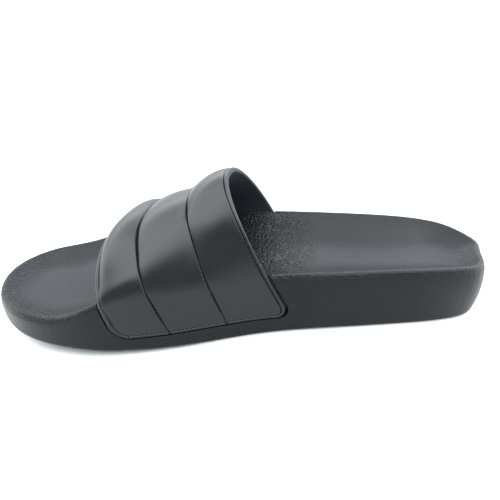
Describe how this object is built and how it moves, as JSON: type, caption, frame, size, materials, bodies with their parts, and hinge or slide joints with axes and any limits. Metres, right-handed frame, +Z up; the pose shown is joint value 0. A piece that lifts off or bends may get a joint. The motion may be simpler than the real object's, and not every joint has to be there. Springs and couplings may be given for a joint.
{
  "type": "slide sandal",
  "caption": "Backless slide sandal for a right foot: moulded contoured foam sole with a raised cup rim and a wide padded band over the instep, its ends let into the sole's sides.",
  "frame": {"origin": "on the ground under the middle of the whole shoe's box", "axes": "+X towards the heel, +Y towards the outer side of the foot, +Z up"},
  "size_m": [0.2754, 0.1046, 0.0763],
  "materials": {
    "moulded_foam": "black moulded foam with a leather-like pebble grain, satin on the footbed",
    "coated_leather": "smooth black coated leather, satin"
  },
  "bodies": {
    "root": {"sole": "moulded_foam", "upper": "coated_leather"}
  },
  "joints": []
}
